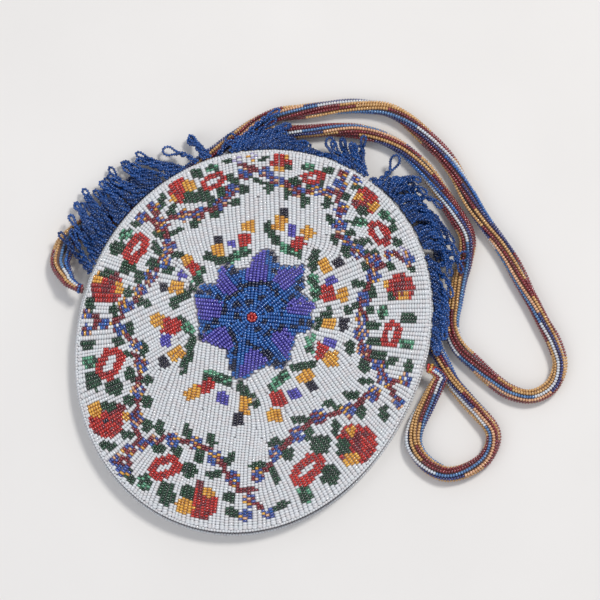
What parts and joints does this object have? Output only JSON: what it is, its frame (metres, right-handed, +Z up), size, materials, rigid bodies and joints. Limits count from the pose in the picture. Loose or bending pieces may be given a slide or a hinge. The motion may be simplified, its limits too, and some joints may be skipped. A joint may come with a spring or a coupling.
{
  "type": "beaded purse",
  "caption": "Round flat purse of seed-bead cloth with an eight-pointed star and flower wreath, a looped bead fringe along its bottom half and a long beaded strap.",
  "frame": {"origin": "on the surface that the purse lies on, under the middle of the front panel's star", "axes": "+Z up, out of the front panel; +Y towards the fringed bottom of the purse, so that its mouth opens at -Y; +X to the right in the picture"},
  "size_m": [0.2607, 0.2227, 0.0147],
  "materials": {
    "white_beads": "glossy opaque seed beads",
    "blue_beads": "glossy seed beads on thread",
    "strap_beads": "glossy seed beads of several colours",
    "strap_end_beads": "glossy seed beads of several colours"
  },
  "bodies": {
    "root": {"front_panel": "white_beads", "back_panel": "white_beads", "strap": "strap_beads", "strap_end_right": "strap_end_beads", "strap_end_left": "strap_end_beads", "fringe_loop_01": "blue_beads", "fringe_loop_02": "blue_beads", "fringe_loop_03": "blue_beads", "fringe_loop_04": "blue_beads", "fringe_loop_05": "blue_beads", "fringe_loop_06": "blue_beads", "fringe_loop_07": "blue_beads", "fringe_loop_08": "blue_beads", "fringe_loop_09": "blue_beads", "fringe_loop_10": "blue_beads", "fringe_loop_11": "blue_beads", "fringe_loop_12": "blue_beads", "fringe_loop_13": "blue_beads", "fringe_loop_14": "blue_beads", "fringe_loop_15": "blue_beads", "fringe_loop_16": "blue_beads", "fringe_loop_17": "blue_beads", "fringe_loop_18": "blue_beads", "fringe_loop_19": "blue_beads", "fringe_loop_20": "blue_beads", "fringe_loop_21": "blue_beads", "fringe_loop_22": "blue_beads", "fringe_loop_23": "blue_beads", "fringe_loop_24": "blue_beads", "fringe_loop_25": "blue_beads", "fringe_loop_26": "blue_beads", "fringe_loop_27": "blue_beads", "fringe_loop_28": "blue_beads", "fringe_loop_29": "blue_beads", "fringe_loop_30": "blue_beads", "fringe_loop_31": "blue_beads", "fringe_loop_32": "blue_beads", "fringe_loop_33": "blue_beads", "fringe_loop_34": "blue_beads", "fringe_loop_35": "blue_beads", "fringe_loop_36": "blue_beads"}
  },
  "joints": []
}
